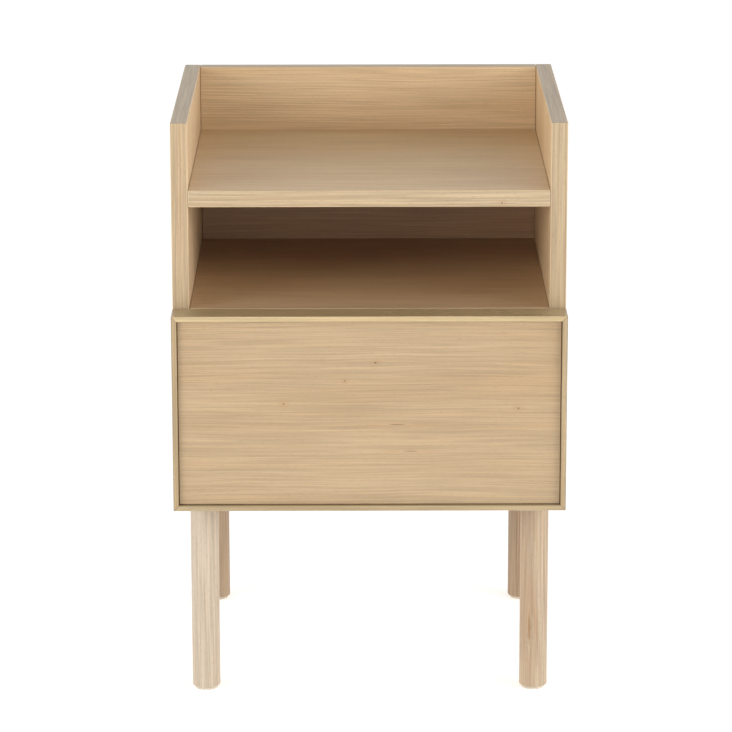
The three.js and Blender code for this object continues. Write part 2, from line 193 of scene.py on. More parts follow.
class NodeWriter:
    """Writes nodes from left to right into one node tree."""

    def __init__(self, tree):
        self.tree = tree
        self.count = 0

    def add(self, kind, **settings):
        made = self.tree.nodes.new(kind)
        column, row = divmod(self.count, NODES_IN_COLUMN)
        made.location = (NODE_WIDTH * column, -NODE_HEIGHT * row)
        self.count += 1
        for name, value in settings.items():
            setattr(made, name, value)
        return made

    def feed(self, socket, value):
        if isinstance(value, bpy.types.NodeSocket):
            self.tree.links.new(value, socket)
        else:
            socket.default_value = value

    def maths(self, operation, *values, clamp=False):
        made = self.add("ShaderNodeMath", operation=operation, use_clamp=clamp)
        for socket, value in zip(made.inputs, values):
            self.feed(socket, value)
        return made.outputs[0]

    def vectors(self, operation, first, second=None):
        made = self.add("ShaderNodeVectorMath", operation=operation)
        self.feed(made.inputs[0], first)
        if second is not None:
            self.feed(made.inputs["Scale" if operation == "SCALE" else 1], second)
        return made.outputs["Value" if operation == "LENGTH" else "Vector"]

    def noise(self, place, scale, detail=2.0, roughness=0.5, output="Fac"):
        made = self.add("ShaderNodeTexNoise")
        self.feed(made.inputs["Vector"], self.vectors("MULTIPLY", place, scale))
        made.inputs["Scale"].default_value = 1.0
        made.inputs["Detail"].default_value = detail
        made.inputs["Roughness"].default_value = roughness
        return made.outputs[output]

    def cells(self, place, scale):
        made = self.add("ShaderNodeTexVoronoi")
        self.feed(made.inputs["Vector"], self.vectors("MULTIPLY", place, scale))
        made.inputs["Scale"].default_value = 1.0
        return made.outputs["Distance"]

    def ease(self, value, low, high, to_low=0.0, to_high=1.0):
        """A smooth step from to_low to to_high while value goes from low to high."""
        made = self.add("ShaderNodeMapRange", interpolation_type="SMOOTHSTEP")
        for socket, number in zip(made.inputs, (value, low, high, to_low, to_high)):
            self.feed(socket, number)
        return made.outputs["Result"]

    def mix(self, share, first, second, blend="MIX"):
        made = self.add("ShaderNodeMix", data_type="RGBA", blend_type=blend)
        sockets = {socket.identifier: socket for socket in (*made.inputs, *made.outputs)}
        self.feed(sockets["Factor_Float"], share)
        self.feed(sockets["A_Color"], first)
        self.feed(sockets["B_Color"], second)
        return sockets["Result_Color"]


def new_group(name, inputs, outputs):
    """An empty node group with named sockets. inputs is {name: default}, and a default of three
    numbers makes a vector socket."""
    tree = bpy.data.node_groups.new(name, "ShaderNodeTree")
    for label, default in inputs.items():
        kind = "NodeSocketVector" if isinstance(default, tuple) else "NodeSocketFloat"
        socket = tree.interface.new_socket(label, in_out="INPUT", socket_type=kind)
        socket.default_value = default
    for label in outputs:
        tree.interface.new_socket(label, in_out="OUTPUT", socket_type="NodeSocketFloat")
    writer = NodeWriter(tree)
    return writer, writer.add("NodeGroupInput").outputs, writer.add("NodeGroupOutput").inputs


def place_group(writer, group_name, **values):
    made = writer.add("ShaderNodeGroup", node_tree=bpy.data.node_groups[group_name])
    for label, value in values.items():
        writer.feed(made.inputs[label.replace("_", " ")], value)
    return made.outputs


def linear(red, green, blue):
    """A colour in the 0 to 255 numbers of a screen, turned into the linear light of shaders. The
    numbers inside are those of the sRGB standard."""
    linear_light = []
    for value in (red, green, blue):
        share = value / 255.0
        dark = share <= 0.04045
        linear_light.append(share / 12.92 if dark else ((share + 0.055) / 1.055) ** 2.4)
    return (*linear_light, 1.0)


print("mid grey in linear light:", round(linear(128, 128, 128)[0], 3))

# %% [markdown]
# ## How oak looks, as one shared group
#
# Oak is drawn by its yearly rings. Each ring starts with a row of wide pores, which the plane cuts
# into short dark dashes, and ends in dense, darker late wood. On a board sawn far from the middle
# of the log the rings are nearly straight lines, and near the middle they close into arches. So
# the group measures the distance to the middle of the log in the board's own coordinates, bends it
# a little with noise, and cuts it into rings. Boards, strips and legs carry those coordinates as a
# mesh attribute named "place": x along the grain, y across it and z into the board. One group then
# serves them all, and each material only sets its ring width, waver and colours.

# %% Group: wood figure
# How often each pattern changes: times per metre along the grain, across it and into the board.
SWAY_SCALE = (2.4, 9.0, 9.0)
RIPPLE_SCALE = (9.0, 45.0, 45.0)
FADE_SCALE = (5.0, 40.0, 40.0)
PORE_SCALE = (110.0, 1500.0, 1500.0)
FIBRE_SCALE = (9.0, 620.0, 620.0)
TONE_SCALE = (2.2, 16.0, 16.0)
RAY_SCALE = (60.0, 420.0, 420.0)

# Places within one ring, as shares of its width.
EARLY_END = 0.3
EARLY_FADE = 0.25
LATE_FULL = 0.92
LATE_END = 0.97

RIPPLE_SHARE = 0.25  # of the waver
FAINTEST_RING = 0.25
FAINT_DICE = 0.1  # share of the rings that are the faintest
FEWEST_PORES = 0.2  # share that is left in the late wood
PORE_RADII = (0.1, 0.36)  # from full to nothing, in cells
RAY_RADII = (0.05, 0.16)


def build_wood_figure():
    inputs = {
        "Place": (0.0, 0.0, 0.0), "Ring": 3 * MM, "Waver": 10 * MM, "Lean": 0.0, "Bend": 0.0
    }
    w, given, out = new_group(
        "wood figure", inputs, ("Late wood", "Pores", "Fibre", "Tone", "Rays")
    )
    place, waver = given["Place"], given["Waver"]
    parts = w.add("ShaderNodeSeparateXYZ")
    w.feed(parts.inputs[0], place)

    # The way across the grain is bent by a slow sway and a quicker ripple.
    sway = w.maths("SUBTRACT", w.noise(place, SWAY_SCALE, detail=1.0), 0.5)
    ripple = w.maths("SUBTRACT", w.noise(place, RIPPLE_SCALE, detail=2.0), 0.5)
    shift = w.maths("MULTIPLY_ADD", sway, waver, given["Bend"])
    shift = w.maths("MULTIPLY_ADD", ripple, w.maths("MULTIPLY", waver, RIPPLE_SHARE), shift)
    joined = w.add("ShaderNodeCombineXYZ")
    w.feed(joined.inputs["Y"], shift)
    swayed = w.vectors("ADD", place, joined.outputs[0])

    # The distance to the middle of the log is cut into rings.
    from_middle = w.vectors("LENGTH", w.vectors("MULTIPLY", swayed, (0.0, 1.0, 1.0)))
    bent = w.maths("MULTIPLY_ADD", parts.outputs["X"], given["Lean"], from_middle)
    rings = w.maths("DIVIDE", bent, given["Ring"])
    within = w.maths("FRACT", rings)

    # Each ring gets its own strength, which fades in and out along the grain.
    ring_dice = w.add("ShaderNodeTexWhiteNoise", noise_dimensions="1D")
    w.feed(ring_dice.inputs["W"], w.maths("FLOOR", rings))
    fade = w.noise(place, FADE_SCALE, detail=2.0)
    own = w.ease(ring_dice.outputs["Value"], FAINT_DICE, 1.0, FAINTEST_RING, 1.0)
    rise = w.ease(within, EARLY_END, LATE_FULL)
    fall = w.ease(within, LATE_END, 1.0, 1.0, 0.0)
    late = w.maths("MULTIPLY", w.maths("MULTIPLY", rise, fall), w.maths("MULTIPLY", own, fade))
    w.feed(out["Late wood"], late)

    # Pores are short dashes, most of them in the early wood.
    dots = w.ease(w.cells(swayed, PORE_SCALE), *PORE_RADII, 1.0, 0.0)
    early = w.ease(within, EARLY_END, EARLY_END + EARLY_FADE, 1.0, FEWEST_PORES)
    w.feed(out["Pores"], w.maths("MULTIPLY", dots, early))

    w.feed(out["Fibre"], w.noise(swayed, FIBRE_SCALE, detail=3.0, roughness=0.6))
    w.feed(out["Tone"], w.noise(place, TONE_SCALE, detail=3.0, roughness=0.55))
    w.feed(out["Rays"], w.ease(w.cells(place, RAY_SCALE), *RAY_RADII, 1.0, 0.0))


build_wood_figure()
print("wood figure:", len(bpy.data.node_groups["wood figure"].nodes), "nodes")

# %% [markdown]
# ## Satin lacquer
#
# Satin lacquer is sprayed on thin, so its gloss changes softly over a few centimetres, it has a
# very fine spray texture, and it sinks a little into the pores. A single roughness number would
# look like plastic film, so the group gives a roughness and a height that change over the surface.

# %% Group: satin lacquer
CLOUD_SCALE = (14.0, 30.0, 30.0)
SPRAY_SCALE = (420.0, 420.0, 420.0)
PORE_DULLING = 0.15
PORE_SINK = -0.8
SPRAY_HEIGHT = 0.25


def build_satin_lacquer():
    inputs = {"Place": (0.0, 0.0, 0.0), "Roughness": 0.4, "Change": 0.06, "Pores": 0.0}
    w, given, out = new_group("satin lacquer", inputs, ("Roughness", "Height"))
    cloud = w.maths("SUBTRACT", w.noise(given["Place"], CLOUD_SCALE, detail=2.0), 0.5)
    rough = w.maths("MULTIPLY_ADD", cloud, given["Change"], given["Roughness"])
    rough = w.maths("MULTIPLY_ADD", given["Pores"], PORE_DULLING, rough, clamp=True)
    w.feed(out["Roughness"], rough)
    spray = w.maths("MULTIPLY", w.noise(given["Place"], SPRAY_SCALE, detail=1.0), SPRAY_HEIGHT)
    w.feed(out["Height"], w.maths("MULTIPLY_ADD", given["Pores"], PORE_SINK, spray))


build_satin_lacquer()
print("satin lacquer:", len(bpy.data.node_groups["satin lacquer"].nodes), "nodes")

# %% [markdown]
# ## Edge wear
#
# Rounded edges are paler, because the lacquer is thinnest there and hands touch them. Wear could be
# found from the curvature of the surface, but that depends on the mesh. Instead the boards, strips
# and legs store how near a point is to an edge in the attribute "near_edge", and noise breaks the
# wear up.

# %% Group: edge wear
PATCH_SCALE = (45.0, 160.0, 160.0)
LEAST_WEAR = 0.35
WEAR_START = 0.4  # of the way from the flat to the edge


def build_edge_wear():
    inputs = {"Near edge": 0.0, "Place": (0.0, 0.0, 0.0), "Amount": 0.3}
    w, given, out = new_group("edge wear", inputs, ("Wear",))
    patches = w.noise(given["Place"], PATCH_SCALE, detail=3.0)
    patches = w.ease(patches, *SHARP_RANGE, LEAST_WEAR, 1.0)
    ridge = w.ease(given["Near edge"], WEAR_START, 1.0)
    w.feed(out["Wear"], w.maths("MULTIPLY", w.maths("MULTIPLY", ridge, patches), given["Amount"]))


build_edge_wear()
print("edge wear:", len(bpy.data.node_groups["edge wear"].nodes), "nodes")

# %% [markdown]
# ## Pin knots
#
# A pin knot is the trace of a tiny twig: a dark point with a faint ring round it, and grain that
# flows past on both sides. The group measures the distance to the knot in knot sizes, and also
# gives the bend that the wood figure adds to its rings.

# %% Group: pin knot
# Distances from the middle of the knot, in knot sizes.
CORE_EDGE = (0.35, 1.0)
HALO_FULL = 1.8
HALO_END = 4.5
FLOW_END = 9.0

FLOW_STRETCH = (0.3, 1.0, 0.0)  # the flow reaches further along the grain
FLOW_SIDE = 4 * MM  # where the grain is turned fully to one side
FLOW_DEPTH = -0.9


def build_pin_knot():
    no_place = (0.0, 0.0, 0.0)
    inputs = {"Place": no_place, "Knot": no_place, "Size": 1.2 * MM, "Squeeze": (0.7, 1.0, 0.0)}
    w, given, out = new_group("pin knot", inputs, ("Core", "Halo", "Bend"))
    size = given["Size"]
    apart = w.vectors("SUBTRACT", given["Place"], given["Knot"])
    shape = w.vectors("LENGTH", w.vectors("MULTIPLY", apart, given["Squeeze"]))
    steps = w.maths("DIVIDE", shape, size)
    w.feed(out["Core"], w.ease(steps, *CORE_EDGE, 1.0, 0.0))
    halo_in = w.ease(steps, 1.0, HALO_FULL)
    halo_out = w.ease(steps, HALO_FULL, HALO_END, 1.0, 0.0)
    w.feed(out["Halo"], w.maths("MULTIPLY", halo_in, halo_out))
    parts = w.add("ShaderNodeSeparateXYZ")
    w.feed(parts.inputs[0], apart)
    flow = w.vectors("LENGTH", w.vectors("MULTIPLY", apart, FLOW_STRETCH))
    swell = w.ease(w.maths("DIVIDE", flow, size), 0.0, FLOW_END, 1.0, 0.0)
    side = w.ease(parts.outputs["Y"], -FLOW_SIDE, FLOW_SIDE, -1.0, 1.0)
    side = w.maths("MULTIPLY", side, swell)
    w.feed(out["Bend"], w.maths("MULTIPLY", side, w.maths("MULTIPLY", size, FLOW_DEPTH)))


build_pin_knot()
print("groups:", [group.name for group in bpy.data.node_groups])

# %% [markdown]
# ## Starting a material
#
# Every material of the table starts in the same way, ends in a bump, and needs to know where a
# point is. Boards, strips and legs read that from their mesh attribute. Wooden pieces that keep
# their CAD shape have none, so they use the object's own coordinates, put in the order of the grain.

# %% Material helpers
SHADER_AT = (2600, 0)
OUTPUT_AT = (2900, 0)


def start_material(name):
    material = bpy.data.materials.new(name)
    material.use_nodes = True
    writer = NodeWriter(material.node_tree)
    shader = material.node_tree.nodes["Principled BSDF"]
    shader.location = SHADER_AT
    material.node_tree.nodes["Material Output"].location = OUTPUT_AT
    return material, writer, shader


def add_bump(writer, shader, height, strength, distance):
    bump = writer.add("ShaderNodeBump")
    bump.inputs["Strength"].default_value = strength
    bump.inputs["Distance"].default_value = distance
    writer.feed(bump.inputs["Height"], height)
    writer.feed(shader.inputs["Normal"], bump.outputs["Normal"])


def read_attribute(writer, name, output):
    made = writer.add("ShaderNodeAttribute", attribute_name=name)
    return made.outputs[output]


def object_place(writer, order):
    """The object's own coordinates, reordered so that x runs along the grain, for CAD pieces."""
    spot = writer.add("ShaderNodeTexCoord").outputs["Object"]
    split = writer.add("ShaderNodeSeparateXYZ")
    joined = writer.add("ShaderNodeCombineXYZ")
    writer.feed(split.inputs[0], spot)
    for target, source in zip("XYZ", order):
        writer.feed(joined.inputs[target], split.outputs[source])
    return joined.outputs[0]


print("material helpers ready")

# %% [markdown]
# ## One recipe for every wood
#
# Oak veneer is pale and a little pink, the strips round the drawer are yellower, and the turned
# legs are cut from pinker stock; the rear legs' darker tones are painted shade. The drawer box is
# birch, which has a fine, quiet grain. They are one recipe with different values, so one function
# mixes them: a soft change between two base tones, darker late wood, fibre streaks, dark pores,
# painted shade towards the rear of a recess, and a worn, paler edge. The same masks also drive the
# bump and the gloss, so that a pore is dark, dull and sunken in the same place.

# %% Wood recipe
KNOT_COLOUR = linear(96, 66, 40)
WORN_COLOUR = linear(206, 186, 156)
PIN = (0.7, 1.0, 0.0)  # how a knot is squeezed along, across and through the leaf
DASH = (0.05, 1.0, 0.0)  # a bark pocket, drawn out along the grain
RAY_DEPTH = 0.12
HALO_DEPTH = 0.25
CORE_DEPTH = 0.8
FIBRE_HEIGHT = 0.35
LATE_HEIGHT = 0.3
WOOD_BUMP = (0.35, 0.08 * MM)  # strength and distance


def make_wood(name, tones, late, pore, ring=3.0, waver=12.0, lean=0.0, order=None, knots=(),
              knot_colour=KNOT_COLOUR, line_depth=0.5, fibre_depth=0.16, pore_depth=0.5,
              roughness=0.42, wear=0.25, browner=None):
    """ring and waver are in millimetres. The last argument, (start, end, tint), is painted shade:
    across the grain, the leaf is tinted darker from start to end, where a recess lies in shade."""
    material, w, shader = start_material(name)
    place = object_place(w, order) if order else read_attribute(w, "place", "Vector")
    near_edge = read_attribute(w, "near_edge", "Fac")
    bend = 0.0
    cores, halos = [], []
    for knot_place, size, squeeze in knots:
        knot = place_group(w, "pin knot", Place=place, Knot=knot_place, Size=size, Squeeze=squeeze)
        cores.append(knot["Core"])
        halos.append(knot["Halo"])
        bend = w.maths("ADD", bend, knot["Bend"])
    figure = place_group(
        w, "wood figure", Place=place, Ring=ring * MM, Waver=waver * MM, Lean=lean, Bend=bend
    )
    colour = w.mix(w.ease(figure["Tone"], *SHARP_RANGE), tones[0], tones[1])
    colour = w.mix(w.maths("MULTIPLY", figure["Late wood"], line_depth), colour, late)
    streak = w.ease(figure["Fibre"], *SOFT_RANGE, 1.0 - fibre_depth, 1.0 + fibre_depth)
    colour = w.vectors("SCALE", colour, streak)
    colour = w.mix(w.maths("MULTIPLY", figure["Pores"], pore_depth), colour, pore)
    colour = w.mix(w.maths("MULTIPLY", figure["Rays"], RAY_DEPTH), colour, tones[0])
    # Painted shade: the leaf is tinted darker where a recess lies in shade.
    if browner:
        start, end, tint = browner
        split = w.add("ShaderNodeSeparateXYZ")
        w.feed(split.inputs[0], place)
        colour = w.mix(w.ease(split.outputs["Y"], start, end), colour, tint, blend="MULTIPLY")
    for core, halo in zip(cores, halos):
        colour = w.mix(w.maths("MULTIPLY", halo, HALO_DEPTH), colour, late)
        colour = w.mix(w.maths("MULTIPLY", core, CORE_DEPTH), colour, knot_colour)
    worn = place_group(w, "edge wear", Near_edge=near_edge, Place=place, Amount=wear)["Wear"]
    colour = w.mix(worn, colour, WORN_COLOUR)
    w.feed(shader.inputs["Base Color"], colour)
    lacquer = place_group(
        w, "satin lacquer", Place=place, Roughness=roughness, Pores=figure["Pores"]
    )
    w.feed(shader.inputs["Roughness"], lacquer["Roughness"])
    height = w.maths("MULTIPLY_ADD", figure["Fibre"], FIBRE_HEIGHT, lacquer["Height"])
    height = w.maths("MULTIPLY_ADD", figure["Late wood"], LATE_HEIGHT, height)
    add_bump(w, shader, height, *WOOD_BUMP)
    return material


print("wood recipe ready, with knots squeezed by", PIN, "or", DASH)

# %% [markdown]
# ## Oak for the case and the drawer front
#
# Veneer leaves are sliced from different logs and bands are sawn from solid stock, so no two
# finishes on a table have quite the same tone. A single oak for everything would look printed.
# The side and bottom strips round the drawer front are darker than the top one as painted shade.
# Each leaf here has its own pair of tones. On the back board and on the floor of the open shelf
# the leaf is tinted darker towards the rear of the shelf as painted shade. The tray shelf's band
# has a small knot.
# The left side's paler pair of tones is painted light on its inner face.

# %% Oak materials
OAK_LATE = linear(158, 121, 80)
OAK_PORE = linear(132, 98, 64)
OAK_TONES = (linear(208, 181, 143), linear(201, 169, 128))
# Painted light: paler tones for the left side, to brighten its inner face.
LIT_LEFT_TONES = (linear(213, 189, 154), linear(206, 177, 139))
SHELF_TONES = (linear(207, 179, 137), linear(200, 167, 124))
CUBBY_TONES = (linear(194, 167, 131), linear(187, 157, 120))
FRONT_TONES = (linear(168, 145, 113), linear(162, 136, 102))
EDGE_TONES = (linear(174, 155, 125), linear(167, 145, 114))
STRIP_TONES = (linear(186, 166, 128), linear(178, 155, 115))
# Painted shade: the side and bottom strips are darker than the top strip.
SHADED_STRIP_TONES = (linear(163, 144, 111), linear(155, 134, 101))

# Painted shade at the rear of the open shelf. Across the grain, in metres in each leaf's own log:
# where the leaf turns darker, and by what tint.
CUBBY_PAINTED_SHADE = (0.43, 0.58, (0.74, 0.69, 0.71, 1.0))
BACK_PAINTED_SHADE = (0.420, 0.403, (0.68, 0.60, 0.60, 1.0))

SHELF_KNOT = ((4.534, 0.5157, 0.0), 1.1 * MM, PIN)
EDGING = {"ring": 3.2, "waver": 6.0, "line_depth": 0.9, "fibre_depth": 0.24}
STRIP = {"ring": 4.0, "waver": 6.0, "line_depth": 0.35}


def make_oak(name, tones, **values):
    return make_wood(name, tones, OAK_LATE, OAK_PORE, **values)


oak_veneer = make_oak("oak veneer", OAK_TONES, ring=2.6, pore_depth=0.3)
oak_left_painted_light = make_oak("oak left veneer with painted light", LIT_LEFT_TONES, ring=2.6, pore_depth=0.3)
oak_inner_back_painted_shade = make_oak(
    "oak inner back veneer with painted shade", OAK_TONES, ring=2.6, pore_depth=0.3, browner=BACK_PAINTED_SHADE
)
oak_shelf = make_oak("oak shelf veneer", SHELF_TONES, ring=2.8, pore_depth=0.35)
oak_cubby = make_oak(
    "oak cubby veneer with painted shade", CUBBY_TONES, ring=2.8, pore_depth=0.35, browner=CUBBY_PAINTED_SHADE
)
oak_edging = make_oak("oak edging", EDGE_TONES, **EDGING)
oak_shelf_edging = make_oak("oak shelf edging", EDGE_TONES, knots=[SHELF_KNOT], **EDGING)
oak_strip = make_oak("oak strip", STRIP_TONES, roughness=0.28, wear=0.15, **STRIP)
oak_shaded_strip = make_oak(
    "oak strip with painted shade", SHADED_STRIP_TONES, roughness=0.34, wear=0.12, **STRIP
)
print("oaks:", len(bpy.data.materials))

# %% [markdown]
# ## Birch and beech for the hidden parts
#
# The drawer box is plain birch and its bottom is thin birch ply, because both are pale, smooth and
# cheap. The dowels are beech. These pieces keep their CAD shape, which has no "place" attribute,
# so "order" says which of the object's own axes runs along the grain, across it and through it.

# %% Birch and beech materials
BIRCH_TONES = (linear(213, 194, 161), linear(206, 184, 149))
BIRCH_LATE = linear(184, 155, 117)
BIRCH_BOARD = {"ring": 7.0, "fibre_depth": 0.07, "pore_depth": 0.15, "wear": 0.0}
BEECH_TONES = (linear(222, 188, 150), linear(212, 174, 135))
BEECH_LATE = linear(184, 140, 100)
BEECH_PORE = linear(160, 112, 78)


def make_birch(name, **values):
    return make_wood(name, BIRCH_TONES, BIRCH_LATE, BIRCH_LATE, **values)


birch_side = make_birch("birch side boards", order="YZX", **BIRCH_BOARD)
birch_end = make_birch("birch end boards", order="XZY", **BIRCH_BOARD)
birch_ply = make_birch("birch ply", order="XYZ", ring=11.0, waver=30.0, fibre_depth=0.06,
                       pore_depth=0.1, roughness=0.5, wear=0.0)
beech_dowel = make_wood("beech dowel", BEECH_TONES, BEECH_LATE, BEECH_PORE, ring=2.0,
                        order="XYZ", pore_depth=0.3, roughness=0.6, wear=0.0)
print("woods:", len(bpy.data.materials))

# %% [markdown]
# ## A rounded block
#
# A board's corners are eased with fine paper. A plain cube has none of that, so the block is
# rounded in bmesh, and a thin ring is then inset on every side. The ring gives the edge wear a true
# width of about a millimetre.

# %% Rounded block
EDGE_ROUND = 0.8 * MM
EDGE_STEPS = 3
BAND = 0.9 * MM
FLAT = 0.9999  # a face whose normal is this close to an axis is one of the flat sides


def mark_near_edge(solid, band):
    """Insets a ring on each flat side. near_edge is 1 on the rounding and 0 inside the ring."""
    near_edge = solid.verts.layers.float.new("near_edge")
    for vert in solid.verts:
        vert[near_edge] = 1.0
    flat_sides = [
        face for face in solid.faces
        if len(face.verts) == 4 and max(abs(c) for c in face.normal) > FLAT
    ]
    bmesh.ops.inset_individual(solid, faces=flat_sides, thickness=band)
    for face in flat_sides:
        for vert in face.verts:
            vert[near_edge] = 0.0


def ease_corners(solid, edges, offset, segments):
    bmesh.ops.bevel(
        solid, geom=edges, offset=offset, segments=segments, profile=0.5, affect="EDGES"
    )


def rounded_block(low, high, rounding, band):
    """A box between two corners with rounded edges and a narrow ring inset on each side."""
    solid = bmesh.new()
    bmesh.ops.create_cube(solid, size=1.0)
    middle, span = (low + high) / 2, high - low
    for vert in solid.verts:
        vert.co = middle + Vector(c * s for c, s in zip(vert.co, span))
    ease_corners(solid, solid.edges[:], rounding, EDGE_STEPS)
    solid.normal_update()
    mark_near_edge(solid, band)
    return solid


print("blocks are rounded by", round(EDGE_ROUND / MM, 1), "mm")

# %% [markdown]
# ## Boards with a banded edge
#
# A veneered board is a core with a thin oak leaf on both faces and a strip of the same oak glued
# round its edges. One texture laid over the whole board would show neither: the leaf and the edge
# strips each have their own run of grain. So every face corner stores its place in its own leaf or
# strip, and leaf and edges have a material each.

# %% Board maker
AXES = {"X": 0, "Y": 1, "Z": 2}
FACING = 0.5  # a face looks along an axis if its normal has more than this of it


def write_place(mesh, find_place):
    """Stores the grain coordinates on every face corner. find_place(face, point) gives them."""
    layer = mesh.attributes.new("place", "FLOAT_VECTOR", "CORNER")
    for face in mesh.polygons:
        for corner in face.loop_indices:
            point = mesh.vertices[mesh.loops[corner].vertex_index].co
            layer.data[corner].vector = find_place(face, point)


def finish_piece(name, solid, body, nodes, finishes):
    """Turns a bmesh into an object with soft shading that rides on a body."""
    mesh = bpy.data.meshes.new(name)
    solid.to_mesh(mesh)
    solid.free()
    for finish in finishes:
        mesh.materials.append(finish)
    for face in mesh.polygons:
        face.use_smooth = True
    piece = bpy.data.objects.new(name, mesh)
    bpy.context.scene.collection.objects.link(piece)
    piece.modifiers.new("even light", "WEIGHTED_NORMAL")
    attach(piece, body)
    if nodes:
        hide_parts(*nodes)
    return piece


def make_board(name, node, body, grain, flat, log_place, face_finish, edge_finish):
    """grain is the axis that the face grain runs along, flat the axis through the board, and
    log_place says where in the log the leaf was cut: along, across and deep, in metres."""
    low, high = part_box(node)
    middle = (low + high) / 2
    along, deep = AXES[grain], AXES[flat]
    across = 3 - along - deep
    piece = finish_piece(
        name, rounded_block(low, high, EDGE_ROUND, BAND), body, [node],
        [face_finish, edge_finish],
    )

    def side_of(face):
        sizes = [abs(c) for c in face.normal]
        if sizes[deep] > FACING:
            return deep
        return along if sizes[along] > sizes[across] else across

    orders = {
        deep: (along, across, deep), along: (across, deep, along), across: (along, deep, across)
    }

    def find_place(face, point):
        spot = point - middle
        return Vector(spot[axis] for axis in orders[side_of(face)]) + Vector(log_place)

    write_place(piece.data, find_place)
    for face in piece.data.polygons:
        face.material_index = 0 if side_of(face) == deep else 1
    return piece


print("board maker ready for grain along", ", ".join(AXES))

# %% [markdown]
# ## The case
#
# Two upright sides carry everything: the tray shelf, the floor of the open shelf below it, the
# bottom board and the back. The grain stands upright on the sides and lies level on all the
# others, as a cabinet maker would lay it. Each board comes from another part of the log, so no two
# faces repeat. The back board has a leaf of its own on its inner face, tinted darker behind the
# open shelf as painted shade.

# %% Case boards
# Grain axis, axis through the board, place in the log, leaf and edging.
CASE_BOARDS = {
    # The left side takes the paler leaf, which is painted light.
    "side_panel_left": ("Z", "X", (1.1, 0.34, 0.02), oak_left_painted_light, oak_edging),
    "side_panel_right": ("Z", "X", (2.3, 0.41, 0.05), oak_veneer, oak_edging),
    "back_panel": ("X", "Y", (3.2, 0.30, 0.06), oak_veneer, oak_edging),
    "tray_shelf": ("X", "Z", (4.4, 0.52, 0.03), oak_shelf, oak_shelf_edging),
    "cubby_floor": ("X", "Z", (5.7, 0.47, 0.08), oak_cubby, oak_edging),
    "bottom_panel": ("X", "Z", (6.9, 0.39, 0.04), oak_shelf, oak_edging),
}
boards = {}
for node, (grain, flat, log_place, leaf, edging) in CASE_BOARDS.items():
    boards[node] = make_board(
        "case_" + node, node, "case", grain, flat, log_place, leaf, edging
    )
    print(boards[node].name, [round(size / MM) for size in boards[node].dimensions])

# The back board's inner face takes the leaf with painted shade behind the open shelf.
back = boards["back_panel"].data
back.materials.append(oak_inner_back_painted_shade)
for face in back.polygons:
    if face.normal.y < -FACING:
        face.material_index = len(back.materials) - 1

# %% [markdown]
# ## The drawer front
#
# The front is a veneered panel that sits a few millimetres back inside a thin frame. Its leaf is
# the most visible wood of the table, so it gets a material of its own with a few pin knots. Each
# knot is listed by its distance from the middle of the panel: along, up and size in millimetres.

# %% Drawer front panel
PANEL_KNOTS = (
    (-87.0, 10.0, 1.2, PIN), (-25.0, 34.0, 1.0, PIN), (6.0, 53.0, 1.3, PIN), (151.0, 5.0, 1.2, PIN),
    (28.0, -12.0, 0.6, DASH), (42.0, -40.0, 0.5, DASH),
)
PANEL_LOG_PLACE = (8.3, 0.36, 0.05)
knot_list = []
for along_mm, up_mm, size_mm, squeeze in PANEL_KNOTS:
    spot = (along_mm * MM + PANEL_LOG_PLACE[0], up_mm * MM + PANEL_LOG_PLACE[1], PANEL_LOG_PLACE[2])
    knot_list.append((spot, size_mm * MM, squeeze))
oak_front = make_wood(
    "oak front veneer", FRONT_TONES, OAK_LATE, OAK_PORE, ring=2.3, waver=14.0, knots=knot_list,
    line_depth=0.6, pore_depth=0.4,
)
panel = make_board(
    "drawer_front_leaf", "drawer_front_panel", "drawer", "X", "Y",
    PANEL_LOG_PLACE, oak_front, oak_edging,
)
panel_size = [round(size / MM) for size in panel.dimensions]
print("front panel:", panel_size, "with", len(knot_list), "pin knots")

# %% [markdown]
# ## The mitred frame
#
# The frame round the panel is four strips of solid oak, mitred at the corners. Four plain boxes
# would overlap or leave square gaps there, so each strip is a prism with slanted ends, built corner
# by corner, and its long edges are eased just enough to catch the light.

# %% Mitred strips
STRIP_ROUND = 0.5 * MM
STRIP_STEPS = 2
LONG_EDGE = 100 * MM  # the slanted ends are far shorter than this, the long edges far longer


def make_strip(node, side_axis, outward, log_place, oak):
    """side_axis is the axis across the strip's thin side. outward is +1 or -1 along it."""
    low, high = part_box(node)
    long_axis = 2 - side_axis
    thin = high[side_axis] - low[side_axis]
    solid = bmesh.new()
    corners = {}
    for depth in (low.y, high.y):
        for is_outer in (True, False):
            edge = (high if (outward > 0) == is_outer else low)[side_axis]
            shorten = 0.0 if is_outer else thin
            for end in (-1, 1):
                point = [0.0, depth, 0.0]
                point[side_axis] = edge
                tip = low[long_axis] + shorten if end < 0 else high[long_axis] - shorten
                point[long_axis] = tip
                corners[depth, is_outer, end] = solid.verts.new(point)
    loops = [
        [(low.y, True, -1), (low.y, True, 1), (low.y, False, 1), (low.y, False, -1)],
        [(high.y, True, -1), (high.y, True, 1), (high.y, False, 1), (high.y, False, -1)],
    ]
    for loop in loops:
        solid.faces.new([corners[key] for key in loop])
    for first, second in zip(loops[0], loops[0][1:] + loops[0][:1]):
        back = [(high.y,) + key[1:] for key in (second, first)]
        solid.faces.new([corners[key] for key in (first, second, *back)])
    bmesh.ops.recalc_face_normals(solid, faces=solid.faces[:])
    long_edges = [
        edge for edge in solid.edges
        if abs((edge.verts[0].co - edge.verts[1].co)[long_axis]) > LONG_EDGE
    ]
    ease_corners(solid, long_edges, STRIP_ROUND, STRIP_STEPS)
    mark_near_edge(solid, BAND / 2)
    piece = finish_piece(node + "_oak", solid, "drawer", [node], [oak])
    middle = (low + high) / 2
    order = (long_axis, 1, side_axis)

    def find_place(face, point):
        spot = point - middle
        return Vector(spot[axis] for axis in order) + Vector(log_place)

    write_place(piece.data, find_place)
    return piece


